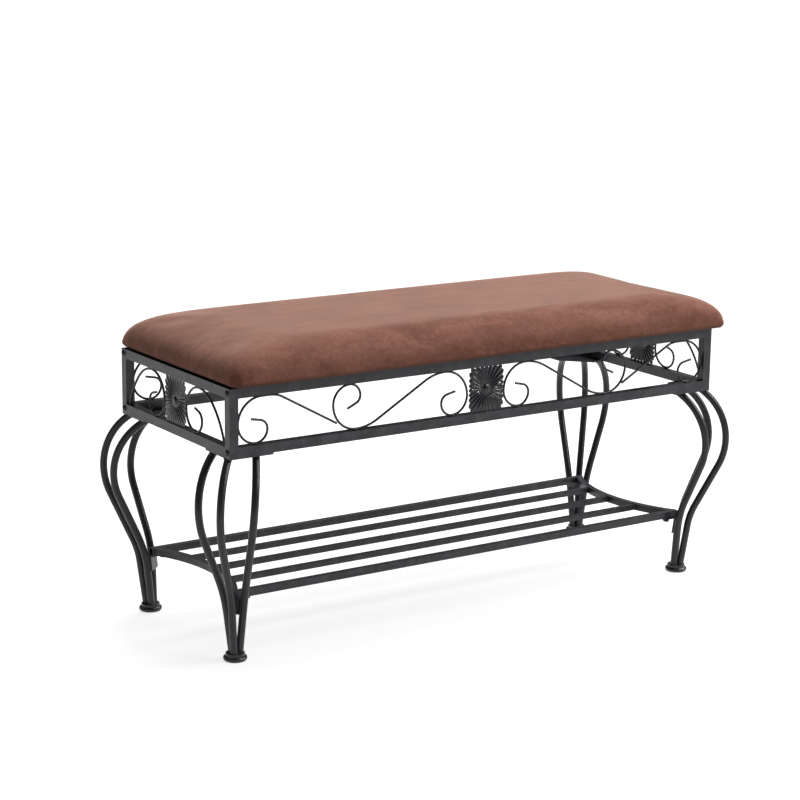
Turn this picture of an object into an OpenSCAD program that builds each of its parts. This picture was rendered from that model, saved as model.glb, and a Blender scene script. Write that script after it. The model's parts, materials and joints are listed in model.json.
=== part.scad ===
// Entryway bench: a steel scroll-work frame on twelve bent leg tubes,
// a slatted shoe shelf between the legs and a padded seat on top.
// Millimetres, +Z up, +X along the length, front is -Y, origin on the floor under the centre.

/* [Seat frame] */
// Length of the seat frame, outside
frame_len = 998; // [960:1:1060]
// Depth of the seat frame, outside
frame_dep = 378; // [366:1:420]
// Height of the underside of the frame
frame_bottom = 351; // [350:1:352]
// Height of the frame between its outer faces
frame_high = 112; // [112:1:114]
// Side of the square tube of rails and posts
tube_w = 16; // [15:1:16]
// Wall of the square tube
tube_wall = 1.2; // [1:0.1:1.6]

/* [Legs] */
// Outside diameter of the bent leg tubes
leg_d = 12.7; // [11:0.1:12.7]
// Wall of the leg tubes
leg_wall = 1.2; // [1:0.1:1.6]
// Foot centre to frame corner, along the length
foot_in_x = 29; // [28:0.5:30]
// Foot centre to frame corner, along the depth
foot_in_y = 38; // [37:0.5:39]
// Diameter of a foot
foot_d = 40; // [38:1:44]
// Height of a foot
foot_h = 12.5; // [11:0.5:13]

/* [Scroll work] */
// Diameter of the scroll wire
wire_d = 4; // [3:0.1:4]
// Half the width of a medallion
medal_w = 36; // [34:0.5:36]
// Number of petals round a medallion
petals = 28; // [20:2:32]

/* [Shelf] */
// Height of the middle of the shelf bars
shelf_z = 108.4; // [104:0.1:110]
// Side of the square outer bars
bar_w = 12; // [11:0.5:12]
// Side of the square slats
slat_w = 9.5; // [8:0.5:11]
// Spacing of the slats
slat_pitch = 70; // [60:1:70]
// Inward bow of the end bars at the middle
bow = 35; // [20:1:40]

/* [Seat] */
// Height of the cushion crown above the floor
crown_z = 518; // [510:1:530]
// Thickness of the seat board
board_t = 9; // [9:1:12]
// Offset of the screwed-on seat to the right of the frame's middle
seat_shift_x = 11; // [0:1:14]
// Offset of the screwed-on seat to the front of the frame's middle
seat_shift_y = 4; // [0:1:6]
// Thickness of the cover cloth
cover_t = 1.5; // [1:0.5:2]

/* [Hidden] */

$fn = 48;
steel = [0.20, 0.20, 0.21];
screw_black = [0.12, 0.12, 0.13];
suede = [0.50, 0.37, 0.32];
foam_grey = [0.85, 0.83, 0.76];
board_brown = [0.55, 0.42, 0.28];
cloth_black = [0.06, 0.06, 0.06];

hx = frame_len / 2;              // half length of the frame
hy = frame_dep / 2;              // half depth of the frame
frame_top = frame_bottom + frame_high;
rail_x = frame_len - 2 * tube_w; // rails fit between the corner posts
rail_y = frame_dep - 2 * tube_w;
top_z = frame_top - tube_w / 2;  // middle of the top rails
low_z = frame_bottom + tube_w / 2;
wall_end = 3;                    // thickness of the tapped plate in a long rail's end
bolt_d = 6;
plate_t = 3;                     // leg plate under each frame corner
plate_w = 80;
screw_a = 34;                    // leg plate screw under a long rail, from the corner
screw_b = 36;                    // leg plate screw under an end rail, from the corner
seat_screw_x = 350;
bar_y = hy - 47;                 // middle of the shelf's front and back bars
bracket_t = 3;
shelf_low = shelf_z - bar_w / 2; // underside of the shelf bars
end_bar_x = hx - 71;             // middle of an end bar at the centre of the depth
end_chord = bar_y - bar_w / 2;
bow_r = (end_chord * end_chord + bow * bow) / (2 * bow);
bow_cx = end_bar_x + bow_r;      // centre of the end bar's arc
shelf_bolt_in = 50;              // shelf bolt from the corner, along the length

// ---------- placing things at the four corners ----------
// A corner's own frame has u along +X and v along +Y, measured inward from the frame corner.
module at_corner(sx, sy) {
    mirror([sx > 0 ? 1 : 0, 0, 0])
        mirror([0, sy > 0 ? 1 : 0, 0])
            translate([-hx, -hy, 0])
                children();
}

module all_corners() {
    for (sx = [-1, 1], sy = [-1, 1])
        at_corner(sx, sy)
            children();
}

// ---------- square tube frame ----------
module square_tube(length, side, wall) {
    difference() {
        cube([length, side, side], center = true);
        cube([length + 2, side - 2 * wall, side - 2 * wall], center = true);
    }
}

// A long rail: square tube closed at both ends by a plate tapped for the frame bolt.
module long_rail() {
    difference() {
        cube([rail_x, tube_w, tube_w], center = true);
        cube([rail_x - 2 * wall_end, tube_w - 2 * tube_wall, tube_w - 2 * tube_wall], center = true);
        rotate([0, 90, 0])
            cylinder(d = bolt_d + 0.2, h = rail_x + 2, center = true);
    }
}

module long_top_rail(sy) {
    color(steel)
        difference() {
            translate([0, sy * (hy - tube_w / 2), top_z])
                long_rail();
            for (sx = [-1, 1])
                translate([sx * seat_screw_x, sy * (hy - tube_w / 2), top_z - tube_w])
                    cylinder(d = 5, h = 2 * tube_w);
        }
}

module long_bottom_rail(sy) {
    color(steel)
        difference() {
            translate([0, sy * (hy - tube_w / 2), low_z])
                long_rail();
            for (sx = [-1, 1])
                translate([sx * (hx - screw_a), sy * (hy - tube_w / 2), frame_bottom - 1])
                    cylinder(d = 4.2, h = tube_wall + 2);
        }
}

module end_top_rail(sx) {
    color(steel)
        translate([sx * (hx - tube_w / 2), 0, top_z])
            rotate([0, 0, 90])
                square_tube(rail_y, tube_w, tube_wall);
}

module end_bottom_rail(sx) {
    color(steel)
        difference() {
            translate([sx * (hx - tube_w / 2), 0, low_z])
                rotate([0, 0, 90])
                    square_tube(rail_y, tube_w, tube_wall);
            for (sy = [-1, 1])
                translate([sx * (hx - tube_w / 2), sy * (hy - screw_b), frame_bottom - 1])
                    cylinder(d = 4.2, h = tube_wall + 2);
        }
}

module corner_post(sx, sy) {
    color(steel)
        at_corner(sx, sy)
            difference() {
                translate([0, 0, frame_bottom])
                    cube([tube_w, tube_w, frame_high]);
                translate([tube_wall, tube_wall, frame_bottom - 1])
                    cube([tube_w - 2 * tube_wall, tube_w - 2 * tube_wall, frame_high + 2]);
                for (z = [low_z, top_z])
                    translate([-1, tube_w / 2, z])
                        rotate([0, 90, 0])
                            cylinder(d = bolt_d + 0.4, h = tube_w + 2);
            }
}

// ---------- scroll wire ----------
// A rod bent in the X-Y plane, starting at the origin along +X. A step is
// [length] for a straight run or [radius, turn]; a positive turn goes left.
// Every other step is a hair thinner and laps into its neighbours, so the rod is one solid.
lap = 0.5;
hair = 0.06;

module bent_wire(steps, phase = 0, i = 0) {
    if (i < len(steps)) {
        s = steps[i];
        thin = (i + phase) % 2 == 1;
        d = thin ? wire_d - hair : wire_d;
        if (len(s) == 1) {
            over = thin ? lap : 0;
            translate([-over, 0, 0])
                rotate([0, 90, 0])
                    cylinder(d = d, h = s[0] + (i + 1 < len(steps) ? 2 : 1) * over);
            translate([s[0], 0, 0])
                bent_wire(steps, phase, i + 1);
        } else {
            side = sign(s[1]);
            turn = abs(s[1]);
            over = thin ? lap / s[0] * 180 / PI : 0;
            after = i + 1 < len(steps) ? over : 0;
            translate([0, side * s[0], 0]) {
                rotate([0, 0, side > 0 ? -90 - over : 90 - turn - after])
                    rotate_extrude(angle = turn + over + after)
                        translate([s[0], 0])
                            circle(d = d);
                rotate([0, 0, s[1]])
                    translate([0, -side * s[0], 0])
                        bent_wire(steps, phase, i + 1);
            }
        }
    }
}

scroll_gap = 0.1;                                  // the wires just touch the rails
wire_top = frame_top - tube_w - wire_d / 2 - scroll_gap;
wire_low = frame_bottom + tube_w + wire_d / 2 + scroll_gap;
wire_h = wire_top - wire_low;                      // drop from crest to trough
wire_y = hy - 6;                                   // plane of the long panels' wires
wire_x = hx - 3.5;                                 // plane of the end panels' wires

// A scroll winds in from its crest in four quarter turns of falling radius.
function scroll_steps(crest_r, hook_r, eye_r, eye_turn, tip) =
    [[crest_r, -90], [wire_h - crest_r, -90], [hook_r, -90], [eye_r, -eye_turn], [tip]];

// Large outer scroll: its tail runs down and stops against the next scroll.
module outer_scroll() {
    crest = 43.5;
    translate([hx - tube_w - wire_d / 2 - scroll_gap - crest, wire_top, 0]) {
        bent_wire(scroll_steps(crest, 21.6, 15.3, 79.4, 17.2));
        mirror([1, 0, 0])
            bent_wire([[15.8], [47.4, -28.9], [115.7]], 1);
    }
}

// Long double scroll: one eye beside the medallion, one by the outer scroll.
module double_scroll() {
    crest = 45.1;
    sweep = 29.8;                                  // slope of the diagonal
    ease = 82.8;                                   // radius at each end of the diagonal
    drop = wire_h - 2 * ease * (1 - cos(sweep));
    translate([medal_w + wire_d / 2 + 0.2 + crest, wire_top, 0]) {
        mirror([1, 0, 0])
            bent_wire(scroll_steps(crest, 22, 14.9, 77.5, 16.6));
        bent_wire([[ease, -sweep], [drop / sin(sweep)], [ease, sweep],
                   [44.1, 90], [wire_h - 44.1, 90], [20.3, 90], [13.7, 65.8], [18.4]], 1);
    }
}

// Single scroll of the end panels: its tail drops to the foot of the corner post.
module end_scroll() {
    crest = 44;
    translate([medal_w + wire_d / 2 + 0.2 + crest, wire_top, 0]) {
        mirror([1, 0, 0])
            bent_wire(scroll_steps(crest, 21.6, 15.1, 75, 12.9));
        bent_wire([[67.2, -40.3], [131.8, -32]], 1);
    }
}

module long_panel_scrolls(sx, sy) {
    color(steel)
        mirror([sx < 0 ? 1 : 0, 0, 0])
            translate([0, sy * wire_y, 0])
                rotate([90, 0, 0]) {
                    outer_scroll();
                    double_scroll();
                }
}

module end_panel_scroll(sx, sy) {
    color(steel)
        mirror([0, sy < 0 ? 1 : 0, 0])
            translate([sx * wire_x, 0, 0])
                rotate([90, 0, 90])
                    end_scroll();
}

// ---------- medallion ----------
// Stamped plate with petals round a boss; it lies in X-Y and faces +Z.
medal_h = (frame_high - 2 * tube_w) / 2 - 0.1;     // half the height of a medallion

module petal_fan() {
    step = 360 / petals;
    for (i = [0:petals - 1])
        rotate([0, 0, (i + 0.5) * step])
            polygon([[9, -1.4], [70, -70 * sin(step * 0.36)], [70, 70 * sin(step * 0.36)], [9, 1.4]]);
}

module medallion() {
    linear_extrude(1.4)
        square([2 * medal_w - 3, 2 * medal_h - 3], center = true);
    translate([0, 0, 0.4])
        linear_extrude(2)
            intersection() {
                square([2 * medal_w, 2 * medal_h], center = true);
                petal_fan();
            }
    rotate_extrude()
        intersection() {
            translate([0, -9.6])
                circle(r = 14);
            square([20, 20]);
        }
}

module long_side_medallion(sy) {
    color(steel)
        translate([0, sy * (hy - 4.4), (frame_bottom + frame_top) / 2])
            rotate([90, 0, sy > 0 ? 180 : 0])
                medallion();
}

module end_medallion(sx) {
    color(steel)
        translate([sx * (hx - 4.4), 0, (frame_bottom + frame_top) / 2])
            rotate([90, 0, sx > 0 ? 90 : -90])
                medallion();
}

// ---------- legs ----------
module tube_ring(thin = 0) {
    difference() {
        circle(d = leg_d - thin);
        circle(d = leg_d - 2 * leg_wall + thin);
    }
}

// Tube arc from the origin along +Z, turning towards +X; it laps into the runs it joins.
module tube_arc(r, turn) {
    over = lap / r * 180 / PI;
    translate([r, 0, 0])
        rotate([90, 0, 180])
            rotate([0, 0, -over])
                rotate_extrude(angle = turn + 2 * over)
                    translate([r, 0])
                        tube_ring(hair);
}

// S-bent tube in its own X-Z plane: it leans out from the foot, bends out further,
// runs straight and then curls back in under the seat frame.
module bent_tube(lean, low_run, low_r, slope, high_run, high_r, curl) {
    turn = slope - lean;
    rotate([0, lean, 0]) {
        translate([0, 0, -5])
            linear_extrude(low_run + 5)
                tube_ring();
        translate([0, 0, low_run]) {
            tube_arc(low_r, turn);
            translate([low_r * (1 - cos(turn)), 0, low_r * sin(turn)])
                rotate([0, turn, 0]) {
                    linear_extrude(high_run)
                        tube_ring();
                    translate([0, 0, high_run])
                        rotate([0, 0, 180])
                            tube_arc(high_r, slope + curl);
                }
        }
    }
}

cluster_r = 7.4;                       // the three tubes stand in a tight triangle
leg_under = frame_bottom - plate_t;    // underside of the leg plate

// Tube ends are cut flat on the foot and under the leg plate.
module leg_tube(place, heading, tilt, kind) {
    difference() {
        translate([foot_in_x + cluster_r * cos(place), foot_in_y + cluster_r * sin(place), foot_h])
            rotate([0, 0, 180 + heading])
                rotate([tilt, 0, 0])
                    if (kind == "corner")
                        bent_tube(8.1, 77, 126, 26.5, 88, 111, 64);
                    else
                        bent_tube(5.1, 62.5, 219, 23.2, 76.6, 107.7, 69);
        translate([-150, -150, foot_h - 40])
            cube([400, 400, 40]);
        translate([-150, -150, leg_under])
            cube([400, 400, 60]);
    }
}

module end_tube(sx, sy) {
    color(steel)
        at_corner(sx, sy)
            leg_tube(105, 25.3, 4.65, "side");
}

module corner_tube(sx, sy) {
    color(steel)
        at_corner(sx, sy)
            leg_tube(225, 45, 0, "corner");
}

module rail_tube(sx, sy) {
    color(steel)
        at_corner(sx, sy)
            leg_tube(-15, 64.7, -4.65, "side");
}

module leg_plate(sx, sy) {
    color(steel)
        at_corner(sx, sy)
            difference() {
                translate([0, 0, leg_under])
                    linear_extrude(plate_t)
                        polygon([[0, 0], [plate_w, 0], [plate_w, 30], [30, plate_w], [0, plate_w]]);
                translate([screw_a, tube_w / 2, leg_under - 1])
                    cylinder(d = 4.4, h = plate_t + 2);
                translate([tube_w / 2, screw_b, leg_under - 1])
                    cylinder(d = 4.4, h = plate_t + 2);
            }
}

// Turned foot: flat base, bulging rim and a flat crown that carries the tubes.
module foot(sx, sy) {
    rim = 4;
    color(steel)
        at_corner(sx, sy)
            translate([foot_in_x, foot_in_y, 0])
                rotate_extrude() {
                    square([foot_d / 2 - rim, foot_h]);
                    square([foot_d / 2 - 2, 2 * rim - 1]);
                    translate([foot_d / 2 - rim, rim])
                        intersection() {
                            circle(r = rim);
                            translate([0, -rim])
                                square([rim, 2 * rim]);
                        }
                }
}

// ---------- shelf ----------
module long_shelf_bar(sy) {
    color(steel)
        difference() {
            translate([0, sy * bar_y, shelf_z])
                square_tube(2 * (hx - 27), bar_w, tube_wall);
            for (sx = [-1, 1])
                translate([sx * (hx - shelf_bolt_in), sy * bar_y, shelf_low - 1])
                    cylinder(d = 6.2, h = tube_wall + 2);
        }
}

// End bar bowed in towards the middle of the bench.
module end_shelf_bar(sx) {
    half_turn = asin(end_chord / bow_r) + 3;
    color(steel)
        mirror([sx < 0 ? 1 : 0, 0, 0])
            intersection() {
                translate([bow_cx, 0, shelf_z])
                    rotate([0, 0, 180 - half_turn])
                        rotate_extrude(angle = 2 * half_turn)
                            translate([bow_r, 0])
                                difference() {
                                    square(bar_w, center = true);
                                    square(bar_w - 2 * tube_wall, center = true);
                                }
                cube([2 * frame_len, 2 * end_chord, 1000], center = true);
            }
}

// Slats end against the bowed bars.
module slat(y) {
    color(steel)
        difference() {
            translate([0, y, shelf_z])
                square_tube(2 * (end_bar_x + 25), slat_w, 1);
            for (sx = [-1, 1])
                translate([sx * bow_cx, 0, shelf_z - 20])
                    cylinder(r = bow_r + bar_w / 2, h = 40, $fn = 96);
        }
}

// Bracket in each leg: a tab against the two inner tubes and a shelf plate on top of it.
module shelf_brackets() {
    tab_lean = 6.5;
    color(steel)
        all_corners()
            difference() {
                union() {
                    translate([foot_in_x, foot_in_y, shelf_low - 26.4])
                        rotate([0, 0, 45])
                            rotate([0, -tab_lean, 0])
                                translate([leg_d / 2 + 0.4, -15, -2])
                                    cube([bracket_t, 30, 34]);
                    translate([0, 0, shelf_low - bracket_t])
                        linear_extrude(bracket_t)
                            polygon([[foot_in_x + 3.5, 41], [59, 41], [59, 53], [23.5, 53], [23.5, 50]]);
                }
                translate([-50, -50, shelf_low])
                    cube([200, 200, 60]);
                translate([shelf_bolt_in, hy - bar_y, shelf_low - 2 * bracket_t])
                    cylinder(d = 6.4, h = 3 * bracket_t);
            }
}

// ---------- fasteners ----------
// Domed head on a shank; the shank runs along +Z from the head's seat.
module dome_screw(head_d, head_h, shank_d, length) {
    r = (head_d * head_d / 4 + head_h * head_h) / (2 * head_h);
    cylinder(d = shank_d, h = length);
    rotate_extrude()
        intersection() {
            translate([0, r - head_h])
                circle(r = r);
            translate([0, -head_h])
                square([head_d, head_h]);
        }
}

module frame_bolts() {
    color(screw_black)
        for (sx = [-1, 1], sy = [-1, 1], z = [low_z, top_z])
            translate([sx * hx, sy * (hy - tube_w / 2), z])
                rotate([0, -90 * sx, 0])
                    dome_screw(11, 3.6, bolt_d, 25);
}

module leg_plate_screws() {
    color(screw_black)
        all_corners() {
            translate([screw_a, tube_w / 2, leg_under])
                dome_screw(8.5, 2.6, 4, 11);
            translate([tube_w / 2, screw_b, leg_under])
                dome_screw(8.5, 2.6, 4, 11);
        }
}

module shelf_bolts() {
    color(screw_black)
        all_corners()
            translate([shelf_bolt_in, hy - bar_y, shelf_low - bracket_t]) {
                translate([0, 0, -4])
                    cylinder(d = 11.5, h = 4, $fn = 6);
                cylinder(d = bolt_d, h = 11);
            }
}

module seat_screws() {
    color(screw_black)
        for (sx = [-1, 1], sy = [-1, 1])
            translate([sx * seat_screw_x, sy * (hy - tube_w / 2), frame_top - tube_w])
                dome_screw(9, 3, 4.5, tube_w + 7);
}

// ---------- seat ----------
seat_z = frame_top;                    // the seat sits on the top rails
dust_t = 1;                            // dust cloth under the board
lip = 3;                               // black edge left showing under the cushion
board_z = seat_z + dust_t;
board_top = board_z + board_t;
board_x = hx - 5;                      // half length of the board
board_y = hy - 5;                      // half depth of the board

module round_slab(x, y, r, z, t) {
    translate([0, 0, z])
        linear_extrude(t)
            hull()
                for (sx = [-1, 1], sy = [-1, 1])
                    translate([sx * (x - r), sy * (y - r)])
                        circle(r = r, $fn = 32);
}

module seat_offset() {
    translate([seat_shift_x, -seat_shift_y, 0])
        children();
}

// Upper part of the domed cushion, shrunk by d all round.
module cushion_slabs(d) {
    round_slab(hx + 12 - d, hy + 16 - d, 27 - d, seat_z + 18, 1);
    round_slab(hx + 8 - d, hy + 11 - d, 30 - d, seat_z + 26, 1);
    round_slab(hx + 1 - d, hy + 5 - d, 34 - d, crown_z - 21 - d, 1);
    round_slab(hx - 10 - d, hy - 1 - d, 40 - d, crown_z - 13 - d, 1);
    round_slab(hx - 25 - d, hy - 8 - d, 46 - d, crown_z - 7 - d, 1);
    round_slab(hx - 47 - d, hy - 19 - d, 54 - d, crown_z - 3 - d, 1);
    round_slab(hx - 84 - d, hy - 39 - d, 60 - d, crown_z - 1 - d, 1);
}

// Outside of the covered cushion: the rounded lower edge hangs past the board.
module cushion_outside() {
    seat_offset()
        hull() {
            round_slab(hx - 2, hy + 4, 18, seat_z + lip, 1);
            round_slab(hx + 6, hy + 11, 22, seat_z + 6, 1);
            round_slab(hx + 12.5, hy + 16.5, 25, board_top + 1, 1);
            cushion_slabs(0);
        }
}

// Foam block inside the cover, lying on the board.
module foam_block() {
    seat_offset()
        hull() {
            round_slab(hx + 12 - cover_t, hy + 16 - cover_t, 25 - cover_t, board_top, 1);
            cushion_slabs(cover_t);
        }
}

module board_block(grow) {
    seat_offset()
        translate([-board_x - grow, -board_y - grow, board_z - grow])
            cube([2 * (board_x + grow), 2 * (board_y + grow), board_t + 2 * grow]);
}

module seat_screw_holes(d) {
    for (sx = [-1, 1], sy = [-1, 1])
        translate([sx * seat_screw_x, sy * (hy - tube_w / 2), seat_z - 1])
            cylinder(d = d, h = 9);
}

module seat_board() {
    color(board_brown)
        difference() {
            board_block(0);
            seat_screw_holes(4.7);
        }
}

module seat_foam() {
    color(foam_grey)
        foam_block();
}

// Cover: a cloth shell over the foam, turned in under its edge to the board.
module seat_cover() {
    color(suede)
        difference() {
            cushion_outside();
            foam_block();
            board_block(0.1);
        }
}

// Dust cloth under the board, folded up round its edge.
module dust_cover() {
    color(cloth_black)
        difference() {
            seat_offset()
                translate([-board_x - 1, -board_y - 1, seat_z])
                    cube([2 * (board_x + 1), 2 * (board_y + 1), lip]);
            board_block(0);
            seat_screw_holes(4.7);
        }
}

// ---------- one line per piece ----------
long_top_rail(-1);  // front_top_rail
long_bottom_rail(-1);  // front_bottom_rail
long_top_rail(1);  // back_top_rail
long_bottom_rail(1);  // back_bottom_rail
end_top_rail(-1);  // left_top_rail
end_bottom_rail(-1);  // left_bottom_rail
end_top_rail(1);  // right_top_rail
end_bottom_rail(1);  // right_bottom_rail
corner_post(-1, -1);  // corner_post_front_left
corner_post(1, -1);  // corner_post_front_right
corner_post(-1, 1);  // corner_post_back_left
corner_post(1, 1);  // corner_post_back_right
long_side_medallion(-1);  // medallion_front
long_side_medallion(1);  // medallion_back
end_medallion(-1);  // medallion_left
end_medallion(1);  // medallion_right
long_panel_scrolls(-1, -1);  // scrolls_front_left
long_panel_scrolls(1, -1);  // scrolls_front_right
long_panel_scrolls(-1, 1);  // scrolls_back_left
long_panel_scrolls(1, 1);  // scrolls_back_right
end_panel_scroll(-1, -1);  // scroll_left_end_front
end_panel_scroll(-1, 1);  // scroll_left_end_back
end_panel_scroll(1, -1);  // scroll_right_end_front
end_panel_scroll(1, 1);  // scroll_right_end_back
end_tube(-1, -1);  // leg_front_left_end_tube
corner_tube(-1, -1);  // leg_front_left_corner_tube
rail_tube(-1, -1);  // leg_front_left_rail_tube
end_tube(1, -1);  // leg_front_right_end_tube
corner_tube(1, -1);  // leg_front_right_corner_tube
rail_tube(1, -1);  // leg_front_right_rail_tube
end_tube(-1, 1);  // leg_back_left_end_tube
corner_tube(-1, 1);  // leg_back_left_corner_tube
rail_tube(-1, 1);  // leg_back_left_rail_tube
end_tube(1, 1);  // leg_back_right_end_tube
corner_tube(1, 1);  // leg_back_right_corner_tube
rail_tube(1, 1);  // leg_back_right_rail_tube
leg_plate(-1, -1);  // leg_plate_front_left
leg_plate(1, -1);  // leg_plate_front_right
leg_plate(-1, 1);  // leg_plate_back_left
leg_plate(1, 1);  // leg_plate_back_right
foot(-1, -1);  // foot_front_left
foot(1, -1);  // foot_front_right
foot(-1, 1);  // foot_back_left
foot(1, 1);  // foot_back_right
long_shelf_bar(-1);  // shelf_front_bar
long_shelf_bar(1);  // shelf_back_bar
end_shelf_bar(-1);  // shelf_left_end_bar
end_shelf_bar(1);  // shelf_right_end_bar
slat(-slat_pitch);  // shelf_slat_front
slat(0);  // shelf_slat_middle
slat(slat_pitch);  // shelf_slat_back
shelf_brackets();
frame_bolts();
leg_plate_screws();
shelf_bolts();
seat_screws();
dust_cover();
seat_board();
seat_foam();
seat_cover();
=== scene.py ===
import json
import math

import bmesh
import bpy
from mathutils import Matrix, Vector, noise


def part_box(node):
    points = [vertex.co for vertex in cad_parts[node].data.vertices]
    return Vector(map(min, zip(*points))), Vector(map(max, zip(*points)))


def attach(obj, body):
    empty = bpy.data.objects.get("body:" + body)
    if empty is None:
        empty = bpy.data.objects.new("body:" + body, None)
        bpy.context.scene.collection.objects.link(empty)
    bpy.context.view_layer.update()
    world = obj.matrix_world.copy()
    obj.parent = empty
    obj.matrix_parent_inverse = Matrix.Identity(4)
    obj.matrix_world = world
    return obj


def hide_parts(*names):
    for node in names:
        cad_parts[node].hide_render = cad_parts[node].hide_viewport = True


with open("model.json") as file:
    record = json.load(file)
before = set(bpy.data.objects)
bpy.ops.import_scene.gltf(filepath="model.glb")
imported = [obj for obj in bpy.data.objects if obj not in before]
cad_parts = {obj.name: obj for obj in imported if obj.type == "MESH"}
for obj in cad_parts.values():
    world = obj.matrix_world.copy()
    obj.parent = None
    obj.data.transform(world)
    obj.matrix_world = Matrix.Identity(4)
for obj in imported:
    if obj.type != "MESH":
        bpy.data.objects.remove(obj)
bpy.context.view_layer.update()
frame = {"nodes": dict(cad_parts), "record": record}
MM = 0.001
nodes = frame["nodes"]


# ---------- camera ----------
CAMERA_PLACE = (-2.12064, -3.11331, 1.21713)  # out to the front left, above the seat
CAMERA_YAW = math.radians(-33.598)
CAMERA_PITCH = math.radians(12.9655)          # looking down
CAMERA_ROLL = 0.012059
CAMERA_LENS = 98.17
CAMERA_SENSOR = 36


def make_camera():
    data = bpy.data.cameras.new("camera")
    cam = bpy.data.objects.new("camera", data)
    bpy.context.scene.collection.objects.link(cam)
    yaw, pitch = CAMERA_YAW, CAMERA_PITCH
    back = Vector((math.sin(yaw) * math.cos(pitch), -math.cos(yaw) * math.cos(pitch), math.sin(pitch)))
    right = Vector((math.cos(yaw), math.sin(yaw), 0))
    up = back.cross(right)
    c, s = math.cos(CAMERA_ROLL), math.sin(CAMERA_ROLL)
    right, up = c * right + s * up, -s * right + c * up
    rot = Matrix((right, up, back)).transposed()
    cam.matrix_world = Matrix.Translation(Vector(CAMERA_PLACE)) @ rot.to_4x4()
    data.sensor_width = CAMERA_SENSOR
    data.lens = CAMERA_LENS
    data.clip_start, data.clip_end = 0.1, 60
    bpy.context.scene.camera = cam


make_camera()


# ---------- node helpers ----------
class Shader:
    """A small builder for one node material."""

    def __init__(self, name):
        self.mat = bpy.data.materials.new(name)
        self.mat.use_nodes = True
        self.tree = self.mat.node_tree
        self.bsdf = self.tree.nodes["Principled BSDF"]
        self.coord = self.node("ShaderNodeTexCoord").outputs["Object"]

    def node(self, kind, **values):
        n = self.tree.nodes.new(kind)
        for key, value in values.items():
            setattr(n, key, value)
        return n

    def link(self, a, b):
        self.tree.links.new(a, b)

    def put(self, node, **inputs):
        for key, value in inputs.items():
            socket = node.inputs[key.replace("_", " ")]
            if isinstance(value, bpy.types.NodeSocket):
                self.link(value, socket)
            else:
                socket.default_value = value
        return node

    def mapped(self, scale):
        n = self.node("ShaderNodeMapping")
        self.link(self.coord, n.inputs["Vector"])
        n.inputs["Scale"].default_value = scale
        return n.outputs["Vector"]

    def noise(self, scale, detail=3.0, rough=0.55, vector=None, distortion=0.0):
        n = self.node("ShaderNodeTexNoise")
        self.put(n, Vector=vector or self.coord, Scale=scale, Detail=detail, Roughness=rough,
                 Distortion=distortion)
        return n.outputs["Fac"]

    def voronoi(self, scale):
        n = self.node("ShaderNodeTexVoronoi", feature="F1")
        self.put(n, Vector=self.coord, Scale=scale)
        return n.outputs["Distance"]

    def span(self, value, a, b, lo, hi):
        n = self.node("ShaderNodeMapRange")
        self.link(value, n.inputs["Value"])
        for key, x in (("From Min", a), ("From Max", b), ("To Min", lo), ("To Max", hi)):
            n.inputs[key].default_value = x
        return n.outputs["Result"]

    def math(self, op, a, b=0.0):
        n = self.node("ShaderNodeMath", operation=op)
        for i, x in enumerate((a, b)):
            if isinstance(x, bpy.types.NodeSocket):
                self.link(x, n.inputs[i])
            else:
                n.inputs[i].default_value = x
        return n.outputs["Value"]

    def ramp(self, value, *stops):
        n = self.node("ShaderNodeValToRGB")
        self.link(value, n.inputs["Fac"])
        els = n.color_ramp.elements
        while len(els) < len(stops):
            els.new(0.5)
        for e, (pos, col) in zip(els, stops):
            e.position = pos
            e.color = (*col, 1)
        return n.outputs["Color"]

    def mix(self, fac, a, b, blend="MIX"):
        n = self.node("ShaderNodeMix", data_type="RGBA", blend_type=blend)
        for key, x in (("Factor", fac), ("A", a), ("B", b)):
            kind = "VALUE" if key == "Factor" else "RGBA"
            socket = next(i for i in n.inputs if i.name == key and i.type == kind)
            if isinstance(x, bpy.types.NodeSocket):
                self.link(x, socket)
            else:
                socket.default_value = x if key == "Factor" else (*x, 1)
        return next(o for o in n.outputs if o.type == "RGBA")

    def bump(self, height, distance, strength=1.0, normal=None):
        n = self.node("ShaderNodeBump")
        self.put(n, Height=height, Distance=distance, Strength=strength)
        if normal is not None:
            self.link(normal, n.inputs["Normal"])
        return n.outputs["Normal"]


def powder_coat(name, base, worn_and_highlight, rough, orange=1.0, shine=0.34):
    """Satin powder coat: fine orange peel, cloudy sheen, pale specks of wear, and paler sharp edges that
    are partly wear and partly a painted highlight.

    orange is the strength of the orange peel, and shine is how strongly the coat reflects."""
    s = Shader(name)
    cloud = s.noise(9, 4)
    speck = s.noise(900, 2)
    colour = s.ramp(cloud, (0.3, [c * 0.92 for c in base]), (0.7, [c * 1.08 for c in base]))
    colour = s.mix(s.span(speck, 0.55, 0.8, 0, 0.22), colour, worn_and_highlight)
    # painted highlight, partly wear: sharp edges are lightened in patches towards the pale wear colour
    edge = s.node("ShaderNodeNewGeometry").outputs["Pointiness"]
    edge_wear_and_highlight = s.math("MULTIPLY", s.span(edge, 0.54, 0.66, 0, 1), s.span(s.noise(60, 4), 0.4, 0.65, 0.1, 0.6))
    colour = s.mix(edge_wear_and_highlight, colour, worn_and_highlight)
    s.link(colour, s.bsdf.inputs["Base Color"])
    s.link(s.span(s.noise(35, 4), 0.3, 0.7, rough - 0.05, rough + 0.06), s.bsdf.inputs["Roughness"])
    s.bsdf.inputs["Specular IOR Level"].default_value = shine
    peel = s.bump(s.noise(420, 2), 0.00012 * orange, 0.55)
    s.link(s.bump(s.noise(2600, 1), 0.00002 * orange, 0.5, peel), s.bsdf.inputs["Normal"])
    return s.mat


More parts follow.
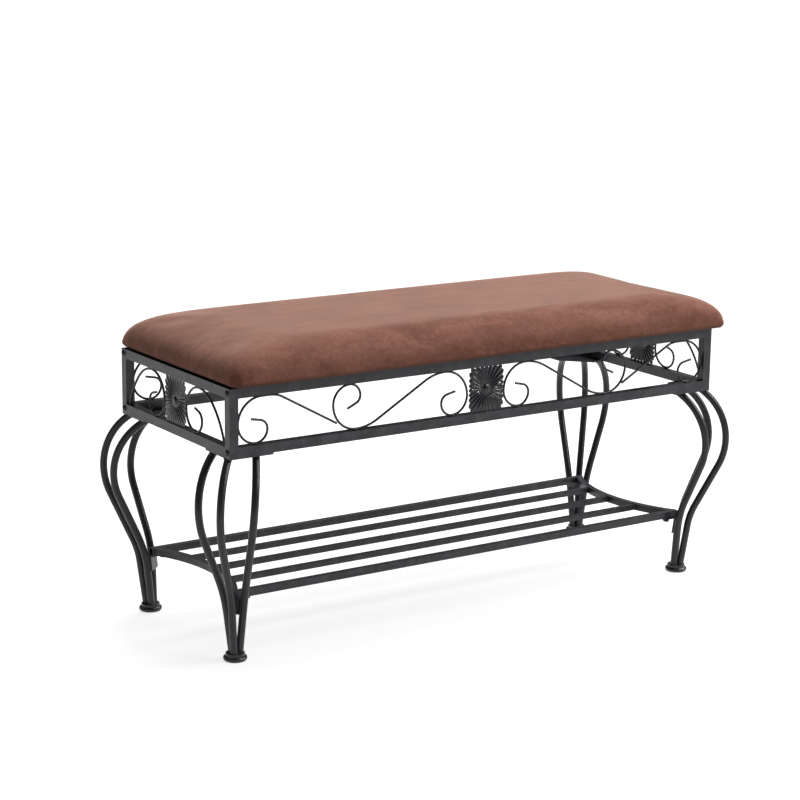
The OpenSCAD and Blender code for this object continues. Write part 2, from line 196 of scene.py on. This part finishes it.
def microsuede(name, tuck):
    """Brushed microsuede: mottled nap, pale handling marks, fine fibres, a soft sheen.

    tuck is the height of the lower edge; towards it the colour is darkened as painted shade and the sheen
    is turned down."""
    s = Shader(name)
    long_nap = s.noise(14, 5, 0.6, s.mapped((1.0, 1.9, 1.6)), 0.6)
    hand = s.noise(5.0, 3, 0.5, s.mapped((1.0, 1.4, 1.0)), 1.2)
    fibre = s.noise(1500, 3, 0.7)
    tuft = s.noise(320, 4, 0.65)
    mottle = s.noise(95, 4, 0.7, s.mapped((1.0, 1.2, 1.6)), 0.4)
    dark, mid, pale = (0.068, 0.026, 0.018), (0.110, 0.045, 0.031), (0.170, 0.078, 0.056)
    colour = s.ramp(long_nap, (0.25, dark), (0.5, mid), (0.78, pale))
    colour = s.mix(s.span(hand, 0.42, 0.66, 0.0, 0.34), colour, pale)
    colour = s.mix(s.span(mottle, 0.50, 0.68, 0.0, 0.36), colour, pale)
    colour = s.mix(s.span(mottle, 0.50, 0.34, 0.0, 0.42), colour, dark)
    colour = s.mix(s.span(tuft, 0.35, 0.7, 0.0, 0.40), colour, dark)
    colour = s.mix(s.span(fibre, 0.45, 0.75, 0.0, 0.25), colour, pale)
    height = s.node("ShaderNodeSeparateXYZ")
    s.link(s.coord, height.inputs["Vector"])
    # painted shade: the colour darkens towards the lower edge, where the cushion sits over the rail, and
    # the sheen is turned down there
    under = s.span(height.outputs["Z"], tuck, tuck + 9 * MM, 1.0, 0.0)
    colour = s.mix(s.math("MULTIPLY", under, 0.75), colour, (0.020, 0.008, 0.006))
    s.link(colour, s.bsdf.inputs["Base Color"])
    s.link(s.math("SUBTRACT", 0.85, s.math("MULTIPLY", under, 0.80)), s.bsdf.inputs["Sheen Weight"])
    s.link(s.span(tuft, 0.3, 0.7, 0.82, 0.98), s.bsdf.inputs["Roughness"])
    s.bsdf.inputs["Specular IOR Level"].default_value = 0.06
    s.bsdf.inputs["Sheen Roughness"].default_value = 0.28
    s.bsdf.inputs["Sheen Tint"].default_value = (1.0, 0.73, 0.60, 1)
    soft = s.bump(s.noise(55, 4), 0.0009, 0.4)
    nap = s.bump(tuft, 0.00035, 0.5, soft)
    s.link(s.bump(fibre, 0.00012, 0.6, nap), s.bsdf.inputs["Normal"])
    return s.mat


def plywood(name):
    """Raw plywood: long grain on the faces and thin glue lines through the edges."""
    s = Shader(name)
    grain = s.noise(30, 6, 0.6, s.mapped((0.7, 9.0, 9.0)), 0.8)
    colour = s.ramp(grain, (0.3, (0.20, 0.115, 0.06)), (0.6, (0.36, 0.23, 0.13)), (0.8, (0.45, 0.31, 0.19)))
    wave = s.node("ShaderNodeTexWave", wave_type="BANDS", bands_direction="Z")
    s.put(wave, Vector=s.coord, Scale=106, Distortion=0.4)
    colour = s.mix(s.span(wave.outputs["Fac"], 0.0, 0.25, 0.55, 0.0), colour, (0.09, 0.05, 0.03))
    s.link(colour, s.bsdf.inputs["Base Color"])
    s.link(s.span(grain, 0.3, 0.7, 0.55, 0.75), s.bsdf.inputs["Roughness"])
    s.link(s.bump(grain, 0.0003, 0.5), s.bsdf.inputs["Normal"])
    return s.mat


def nonwoven(name):
    """Black spun-bonded dust cloth: matted fibres with a grid of pressed points."""
    s = Shader(name)
    fibres = s.noise(700, 4, 0.7, s.mapped((1.0, 0.35, 1.0)), 1.5)
    dots = s.voronoi(420)
    colour = s.ramp(fibres, (0.3, (0.008, 0.008, 0.009)), (0.75, (0.026, 0.026, 0.028)))
    colour = s.mix(s.span(dots, 0.0, 0.25, 0.5, 0.0), colour, (0.004, 0.004, 0.004))
    s.link(colour, s.bsdf.inputs["Base Color"])
    s.link(s.span(fibres, 0.3, 0.7, 0.75, 0.95), s.bsdf.inputs["Roughness"])
    s.bsdf.inputs["Sheen Weight"].default_value = 0.2
    pressed = s.bump(s.span(dots, 0.0, 0.3, 0.0, 1.0), 0.0002, 0.7)
    s.link(s.bump(fibres, 0.0002, 0.5, pressed), s.bsdf.inputs["Normal"])
    return s.mat


def stage_floor(name):
    s = Shader(name)
    s.bsdf.inputs["Base Color"].default_value = (0.25, 0.25, 0.25, 1)
    s.bsdf.inputs["Emission Color"].default_value = (1, 1, 1, 1)
    s.bsdf.inputs["Emission Strength"].default_value = 0.78
    s.link(s.span(s.noise(3, 2), 0.3, 0.7, 0.55, 0.62), s.bsdf.inputs["Roughness"])
    s.bsdf.inputs["Specular IOR Level"].default_value = 0.15
    return s.mat


FRAME_COAT = powder_coat("frame_powder_coat", (0.0088, 0.0090, 0.0118), (0.040, 0.041, 0.048), 0.33)
STAMPED = powder_coat("stamped_powder_coat", (0.0046, 0.0044, 0.0072), (0.055, 0.055, 0.07),
                      0.15, 0.3, 0.36)
FOOT_COAT = powder_coat("foot_powder_coat", (0.0105, 0.0105, 0.0125), (0.045, 0.045, 0.05),
                        0.27, 1.0, 0.5)
SCREW_BLACK = powder_coat("black_oxide", (0.006, 0.006, 0.0065), (0.05, 0.05, 0.05), 0.32, 0.5)
SUEDE = microsuede("brown_microsuede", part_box("seat_cover")[0].z)
PLY = plywood("raw_plywood")
DUST = nonwoven("black_dust_cloth")

SLOT_MATERIAL = {
    "frame_metal": FRAME_COAT, "medallion_metal": STAMPED, "foot_metal": FOOT_COAT,
    "fastener_black": SCREW_BLACK, "cover_cloth": SUEDE, "foam": SUEDE,
    "plywood": PLY, "dust_cloth": DUST,
}


# ---------- CAD nodes that stay ----------
SHARP_ANGLE = math.radians(35)
BEVEL_ANGLE = math.radians(50)


def dress(node, material, bevel):
    """Keeps a CAD node's shape, with a finish and rounded sharp edges."""
    o = nodes[node]
    o.data.materials.clear()
    o.data.materials.append(material)
    for p in o.data.polygons:
        p.use_smooth = True
    o.data.set_sharp_from_angle(angle=SHARP_ANGLE)
    if bevel:
        b = o.modifiers.new("edge", "BEVEL")
        b.width = bevel
        b.segments = 2
        b.limit_method = "ANGLE"
        b.angle_limit = BEVEL_ANGLE
        b.harden_normals = True
        b.use_clamp_overlap = True


for part in frame["record"]["subparts"]:
    name = part["node"]
    bevel = 0.0
    if name.endswith("_rail") or name.startswith("corner_post"):
        bevel = 1.2 * MM
    elif name.startswith("shelf_") and name != "shelf_bolts":
        bevel = 0.7 * MM
    elif name.startswith("leg_plate_") and name != "leg_plate_screws":
        bevel = 0.5 * MM
    dress(name, SLOT_MATERIAL[part["material_slot"]], bevel)


# ---------- meshes ----------
def new_object(name, bm, material):
    """A smooth-shaded piece that rides on the bench."""
    mesh = bpy.data.meshes.new(name)
    bmesh.ops.recalc_face_normals(bm, faces=bm.faces)
    bm.to_mesh(mesh)
    bm.free()
    for p in mesh.polygons:
        p.use_smooth = True
    mesh.materials.append(material)
    o = bpy.data.objects.new(name, mesh)
    bpy.context.scene.collection.objects.link(o)
    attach(o, "root")
    return o


# ---------- cushion ----------
def rounded_outline(a, b, r, n):
    """n points round a rectangle of half sizes a and b with corner radius r, from the middle of +X."""
    straight = [2 * (b - r), 2 * (a - r)]
    arc = math.pi * r / 2
    total = 2 * (straight[0] + straight[1]) + 4 * arc
    points = []
    for i in range(n):
        d = (i / n * total + straight[0] / 2) % total
        for side in range(4):
            run = straight[side % 2]
            turn = Matrix.Rotation(side * math.pi / 2, 2)
            long, short = (a, b) if side % 2 == 0 else (b, a)
            if d <= run:
                points.append(turn @ Vector((long, d - run / 2)))
                break
            d -= run
            if d <= arc:
                t = d / r
                points.append(turn @ Vector((long - r + r * math.cos(t), short - r + r * math.sin(t))))
                break
            d -= arc
    return points


RING_POINTS = 160
RIM_GROWTH = 3 * MM       # what relaxing later takes off the rim again
TUCK_X, TUCK_Y = 11 * MM, 10 * MM     # how far the lower edge turns in at the ends and the sides
SLOPE_X, SLOPE_Y = 79 * MM, 52 * MM   # how far the crown's flat top is from the ends and the sides
CROWN_SLIDE = 0.12        # the crown leans to +X by this share of its inset


def cushion_body(lo, hi, widest, proud):
    """Closed domed pad: flat below, rounded lower edge, widest low down, with a soft crown.

    proud is how far the crown stands over the plain solid's before it swells."""
    cx, cy = (lo.x + hi.x) / 2, (lo.y + hi.y) / 2
    a, b = (hi.x - lo.x) / 2 + RIM_GROWTH, (hi.y - lo.y) / 2 + RIM_GROWTH
    bm = bmesh.new()
    rings = []
    under = widest - lo.z

    def ring(z, da, db, r):
        slide = CROWN_SLIDE * max(0.0, z - widest) / (hi.z - widest) * da
        rings.append([bm.verts.new((cx + slide + p.x, cy + p.y, z))
                      for p in rounded_outline(a - da, b - db, r, RING_POINTS)])

    for k in range(6):
        t = math.radians(90 * k / 5)
        ring(widest - under * math.cos(t), TUCK_X * (1 - math.sin(t)), TUCK_Y * (1 - math.sin(t)),
             (14 + 7 * math.sin(t)) * MM)
    rise = hi.z + proud - widest
    for k in range(1, 15):
        h = math.sin(math.radians(90 * k / 14))
        left = max(0.0, 1 - h * h)
        ring(widest + rise * h, SLOPE_X * (1 - left ** 0.5), SLOPE_Y * (1 - left ** 0.5),
             (21 + 18 * h * h) * MM)
    for low_ring, high_ring in zip(rings, rings[1:]):
        n = len(low_ring)
        for i in range(n):
            bm.faces.new((low_ring[i], low_ring[(i + 1) % n], high_ring[(i + 1) % n], high_ring[i]))
    bm.faces.new(rings[-1])
    bm.faces.new(list(reversed(rings[0])))
    return bm


AIR_PRESSURE = 1.2
SWELL_FRAMES = 20


def swell(o, held, cap):
    """Cloth under air pressure for a few frames; no point moves further than cap."""
    group = o.vertex_groups.new(name="held")
    rest = [v.co.copy() for v in o.data.vertices]
    for i, p in enumerate(rest):
        w = held(p)
        if w > 0:
            group.add([i], w, "REPLACE")
    cloth = o.modifiers.new("swell", "CLOTH")
    cs = cloth.settings
    cs.use_pressure = True
    cs.uniform_pressure_force = AIR_PRESSURE
    cs.effector_weights.gravity = 0
    cs.vertex_group_mass = "held"
    cs.quality = 4
    cs.tension_stiffness = cs.compression_stiffness = 30
    cs.shear_stiffness = 20
    cs.bending_stiffness = 12
    cloth.point_cache.frame_start, cloth.point_cache.frame_end = 1, SWELL_FRAMES
    scene = bpy.context.scene
    for frame_number in range(1, SWELL_FRAMES + 1):
        scene.frame_set(frame_number)
    shaped = o.evaluated_get(bpy.context.evaluated_depsgraph_get())
    moved = [v.co.copy() for v in shaped.data.vertices]
    o.modifiers.remove(cloth)
    for v, p, q in zip(o.data.vertices, rest, moved):
        d = q - p
        v.co = p + d * min(1.0, cap / max(d.length, 1e-9))
    o.vertex_groups.remove(group)
    scene.frame_set(1)


def relax(o, rounds, keep):
    """Evens out the mesh, except the points that keep names."""
    bm = bmesh.new()
    bm.from_mesh(o.data)
    free = [v for v in bm.verts if not keep(v.co)]
    for _ in range(rounds):
        bmesh.ops.smooth_vert(bm, verts=free, factor=0.5,
                              use_axis_x=True, use_axis_y=True, use_axis_z=True)
    bm.to_mesh(o.data)
    bm.free()


def apply_modifiers(o):
    """Bakes an object's modifiers into its mesh."""
    mesh = bpy.data.meshes.new_from_object(o.evaluated_get(bpy.context.evaluated_depsgraph_get()))
    old = o.data
    o.modifiers.clear()
    o.data = mesh
    mesh.name = old.name
    bpy.data.meshes.remove(old)


def tuck_cloth(o, lo, hi):
    """Cloth drawn over the lower edge: small pulls all round, stronger gathers at the corners."""
    cx, cy = (lo.x + hi.x) / 2, (lo.y + hi.y) / 2
    half_x, half_y = (hi.x - lo.x) / 2, (hi.y - lo.y) / 2
    corner_reach = 42 * MM
    for v in o.data.vertices:
        p = v.co
        side = max(abs(p.x - cx) - half_x, abs(p.y - cy) - half_y)
        if side <= -60 * MM or p.z <= lo.z + 1.0 * MM:
            continue
        reach = max(0.0, 1 - max(0.0, p.z - lo.z) / (34 * MM))
        corner_x = abs(p.x - cx) - (half_x - corner_reach)
        corner_y = abs(p.y - cy) - (half_y - corner_reach)
        corner = max(0.0, min(1.0, min(corner_x, corner_y) / (26 * MM) + 0.35))
        turn = math.atan2(corner_y, corner_x) if corner > 0 else 0.0
        pull = 0.35 * MM * noise.noise(Vector((p.x * 26, p.y * 26, 3.1)))
        gather = 0.9 * MM * corner * math.sin(turn * 15 + 1.3 * noise.noise(p * 40))
        out = Vector((p.x - cx, (p.y - cy) * 1.6, 0)).normalized()
        v.co += out * (pull + gather) * reach ** 1.5


def level_underside(o, lo):
    """Flattens the underside, and recesses it for the board."""
    board_lo, board_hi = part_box("seat_board")
    room = 3 * MM
    lift = board_hi.z + 0.3 * MM
    for v in o.data.vertices:
        p = v.co
        if p.z < lo.z + 1.2 * MM:
            v.co.z = lo.z
        inside_x = board_lo.x - room < p.x < board_hi.x + room
        inside_y = board_lo.y - room < p.y < board_hi.y + room
        if inside_x and inside_y and p.z < lo.z + 6 * MM:
            v.co.z = lift


def make_cushion():
    """The cover over its foam: a domed pad, swelled as cloth while its lower edge is held."""
    lo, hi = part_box("seat_cover")
    widest = lo.z + 9 * MM
    bm = cushion_body(lo, hi, widest, 4 * MM)
    bmesh.ops.recalc_face_normals(bm, faces=bm.faces)
    mesh = bpy.data.meshes.new("cushion")
    bm.to_mesh(mesh)
    bm.free()
    o = bpy.data.objects.new("cushion", mesh)
    bpy.context.scene.collection.objects.link(o)
    remesh = o.modifiers.new("even", "REMESH")
    remesh.mode = "VOXEL"
    remesh.voxel_size = 6 * MM
    apply_modifiers(o)
    relax(o, 4, lambda p: p.z < lo.z + 1.5 * MM)

    def stapled(p):
        """The cloth is fast below its widest line and works loose up the sides."""
        return max(0.0, min(1.0, (widest + 8 * MM - p.z) / (8 * MM)))

    swell(o, stapled, 6 * MM)
    relax(o, 14, lambda p: p.z < widest + 2 * MM)
    finer = o.modifiers.new("finer", "SUBSURF")
    finer.levels = finer.render_levels = 1
    apply_modifiers(o)

    tuck_cloth(o, lo, hi)
    level_underside(o, lo)
    for p in o.data.polygons:
        p.use_smooth = True
    o.data.materials.clear()
    o.data.materials.append(SUEDE)
    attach(o, "root")
    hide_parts("seat_cover", "seat_foam")


make_cushion()


# ---------- stamped medallions ----------
PETALS = 28
SHEET = 1.2 * MM      # thickness of the stamped sheet
BOSS_END = 0.20       # shares of the way from the middle to the rim: the boss,
RING_END = 0.27       # the groove round it,
INNER_TIER = 0.42     # and, past the groove, the shorter petals on top
PETAL_STEPS, RINGS = 8, 34
SCALLOP = 0.085       # depth of the gaps between petal tips, as a share of the radius


def medallion_height(u, petal):
    """Height of the stamping: u from the middle (0) to the rim (1), petal is the phase round it."""
    inner = math.cos(petal + math.pi)
    if u < BOSS_END:
        return 2.9 * MM * math.sqrt(max(0.0, 1 - (u / BOSS_END) ** 2)) + 1.0 * MM
    if u < RING_END:
        t = (u - BOSS_END) / (RING_END - BOSS_END)
        return MM * (0.35 + 0.65 * abs(math.cos(math.pi * t)) * (1 - t) + 0.5 * t)
    t = (u - RING_END) / (1 - RING_END)
    leaf = abs(math.cos(petal / 2))
    flute = (leaf ** 0.7 - 0.55) * 2.4
    tier = max(0.0, 1 - t / INNER_TIER)
    upper = max(0.0, inner) ** 0.7 * tier ** 0.5
    dish = 1.1 * math.sin(math.pi * min(1.0, t * 1.05))
    return MM * (0.45 + dish + flute * min(1.0, t * 5) * (1.0 - 0.25 * t) + upper)


def medallion_rim(angle, half_w, half_h):
    """Distance to the scalloped rim of a nearly rectangular stamping."""
    c, s = abs(math.cos(angle)), abs(math.sin(angle))
    power = 9  # of the superellipse
    straight = 1 / ((c / half_w) ** power + (s / half_h) ** power) ** (1 / power)
    tip = abs(math.cos(angle * PETALS / 2))
    return straight * (1 - SCALLOP * (1 - tip) ** 1.2)


def make_medallion(node, outward):
    """Thin fluted stamping in place of a plain medallion, with its face to outward."""
    lo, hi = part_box(node)
    mid = (lo + hi) / 2
    outward = Vector(outward)
    across = Vector((0, 0, 1)).cross(outward)
    half_w = abs((hi - lo).dot(across)) / 2
    half_h = (hi.z - lo.z) / 2
    depth = abs((hi - lo).dot(outward))
    back = mid - outward * depth / 2
    around = PETALS * PETAL_STEPS
    bm = bmesh.new()

    def surface(lower):
        """One face of the sheet: a round boss, growing rectangular towards the rim."""
        grid = []
        for j in range(1, RINGS + 1):
            u = (j / RINGS) ** 0.85
            row = []
            for i in range(around):
                angle = 2 * math.pi * i / around
                square = max(0.0, min(1.0, (u - 0.25) / 0.45))
                far = u * (half_w + (medallion_rim(angle, half_w, half_h) - half_w) * square)
                h = medallion_height(u, angle * PETALS) - (SHEET if lower else 0)
                h = max(0.05 * MM if lower else 1.0 * MM, min(h, depth))
                row.append(bm.verts.new(back + across * (far * math.cos(angle))
                                        + Vector((0, 0, far * math.sin(angle))) + outward * h))
            grid.append(row)
        top = medallion_height(0, 0) - (SHEET if lower else 0)
        centre = bm.verts.new(back + outward * min(top, depth))
        for i in range(around):
            bm.faces.new((centre, grid[0][i], grid[0][(i + 1) % around]))
        for r0, r1 in zip(grid, grid[1:]):
            for i in range(around):
                k = (i + 1) % around
                bm.faces.new((r0[i], r1[i], r1[k], r0[k]))
        return grid[-1]

    front_rim, back_rim = surface(False), surface(True)
    for i in range(around):
        k = (i + 1) % around
        bm.faces.new((front_rim[i], back_rim[i], back_rim[k], front_rim[k]))
    o = new_object("stamped_" + node, bm, STAMPED)
    o.data.set_sharp_from_angle(angle=math.radians(50))
    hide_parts(node)


OUTWARD = {"front": (0, -1, 0), "back": (0, 1, 0), "left": (-1, 0, 0), "right": (1, 0, 0)}
for side, outward in OUTWARD.items():
    make_medallion("medallion_" + side, outward)


# ---------- welds ----------
def blob(bm, place, size, axis, seed):
    """One rough bead of weld metal, coated over."""
    axis = Vector(axis).normalized()
    rot = axis.to_track_quat("X", "Z").to_matrix()
    made = bmesh.ops.create_icosphere(bm, subdivisions=2, radius=1.0)
    for v in made["verts"]:
        p = v.co.copy()
        lump = 1 + 0.22 * noise.noise(p * 1.7 + Vector((seed, 0, 0)))
        q = Vector((p.x * size[0], p.y * size[1], p.z * size[2])) * lump
        v.co = Vector(place) + rot @ q


def bead_ring(bm, centre, radius, thick, seed, around=60, section=8):
    """A rippled weld fillet round a tube, in the horizontal plane."""
    rings = []
    for i in range(around):
        t = 2 * math.pi * i / around
        uneven = noise.noise(Vector((math.cos(t) * 2, math.sin(t) * 2, seed)))
        ripple = 1 + 0.16 * math.sin(t * 13 + seed) + 0.14 * uneven
        outwards = Vector((math.cos(t), math.sin(t), 0))
        ring = []
        for k in range(section):
            s = 2 * math.pi * k / section
            rise = Vector((0, 0, thick * 0.8 * ripple * math.sin(s)))
            ring.append(bm.verts.new(centre + outwards * (radius + thick * ripple * math.cos(s)) + rise))
        rings.append(ring)
    for i in range(around):
        r0, r1 = rings[i], rings[(i + 1) % around]
        for k in range(section):
            m = (k + 1) % section
            bm.faces.new((r0[k], r1[k], r1[m], r0[m]))


def end_centre(node, top):
    """Middle of a leg tube's upper or lower end."""
    lo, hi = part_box(node)
    z = hi.z if top else lo.z
    points = [v.co for v in nodes[node].data.vertices if abs(v.co.z - z) < 0.6 * MM]
    xs, ys = [p.x for p in points], [p.y for p in points]
    return Vector(((min(xs) + max(xs)) / 2, (min(ys) + max(ys)) / 2, z))


def make_leg_welds():
    """A bead at both ends of every leg tube: under its leg plate and on its foot."""
    bm = bmesh.new()
    seed = 0
    for side in ("front_left", "front_right", "back_left", "back_right"):
        for tube in ("end", "corner", "rail"):
            seed += 1
            node = f"leg_{side}_{tube}_tube"
            under_plate = end_centre(node, True) - Vector((0, 0, 0.6 * MM))
            on_foot = end_centre(node, False) + Vector((0, 0, 0.4 * MM))
            bead_ring(bm, under_plate, 6.6 * MM, 1.9 * MM, seed)
            bead_ring(bm, on_foot, 6.3 * MM, 1.3 * MM, seed + 50)
    new_object("leg_welds", bm, FRAME_COAT)


def touches(node, axis, plane, reach):
    """Where a wire comes within reach of a plane: the middles of its runs of close vertices."""
    near = [v.co for v in nodes[node].data.vertices if abs(v.co[axis] - plane) < reach]
    along = 0 if "end" not in node else 1
    if axis == along:
        along = 2
    near.sort(key=lambda p: p[along])
    groups = []
    for p in near:
        if groups and p[along] - groups[-1][-1][along] < 12 * MM:
            groups[-1].append(p)
        else:
            groups.append([p])
    return [sum(g, Vector()) / len(g) for g in groups], along


def make_wire_welds():
    """A bead wherever a scroll meets the rail above or below it."""
    bm = bmesh.new()
    seed = 100
    under_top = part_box("front_top_rail")[0].z
    over_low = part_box("front_bottom_rail")[1].z
    for node in nodes:
        if not node.startswith("scroll"):
            continue
        for plane, push in ((under_top, -0.3 * MM), (over_low, 0.3 * MM)):
            spots, along = touches(node, 2, plane, 0.5 * MM)
            for p in spots:
                seed += 1
                axis = Vector((0, 0, 0))
                axis[along] = 1
                place = Vector((p.x, p.y, plane + push))
                blob(bm, place, (4.6 * MM, 2.3 * MM, 1.3 * MM), axis, seed)
    new_object("wire_welds", bm, FRAME_COAT)


make_leg_welds()
make_wire_welds()


# ---------- floor and light ----------
WORLD_LIGHT = 0.20
SUN = (3.1, 60, (0.90, 0.10, 1.40))   # strength, width in degrees, and the way to it
LAMPS = (                             # name, place, size and power
    ("softbox_over", (0.6, 0.9, 3.0), (3.0, 1.6), 116),
    ("strip_right", (2.2, -1.2, 1.5), (0.9, 1.6), 34),
    ("glint_front", (1.5, -2.3, 1.9), (0.26, 0.26), 28),
)
LAMP_TARGET = Vector((0, 0, 0.3))
FLOOR_HALF = 30


def make_floor():
    bm = bmesh.new()
    bmesh.ops.create_grid(bm, x_segments=2, y_segments=2, size=FLOOR_HALF)
    mesh = bpy.data.meshes.new("floor")
    bm.to_mesh(mesh)
    bm.free()
    mesh.materials.append(stage_floor("pale_floor"))
    floor = bpy.data.objects.new("floor", mesh)
    bpy.context.scene.collection.objects.link(floor)


def make_world():
    world = bpy.data.worlds.new("studio")
    world.use_nodes = True
    background = world.node_tree.nodes["Background"]
    background.inputs["Color"].default_value = (1, 1, 1, 1)
    background.inputs["Strength"].default_value = WORLD_LIGHT
    bpy.context.scene.world = world
    bpy.context.scene.view_settings.view_transform = "Standard"


def add_light(name, data, toward):
    """A light that shines against toward, the way from the bench to it."""
    light = bpy.data.objects.new(name, data)
    bpy.context.scene.collection.objects.link(light)
    light.rotation_mode = "QUATERNION"
    light.rotation_quaternion = (-Vector(toward)).to_track_quat("-Z", "Y")
    return light


def make_lights():
    strength, softness, toward = SUN
    data = bpy.data.lights.new("key", "SUN")
    data.energy = strength
    data.angle = math.radians(softness)
    add_light("key", data, toward)

    for name, place, size, power in LAMPS:
        data = bpy.data.lights.new(name, "AREA")
        data.shape = "RECTANGLE"
        data.size, data.size_y = size
        data.energy = power
        lamp = add_light(name, data, Vector(place) - LAMP_TARGET)
        lamp.location = place


make_floor()
make_world()
make_lights()
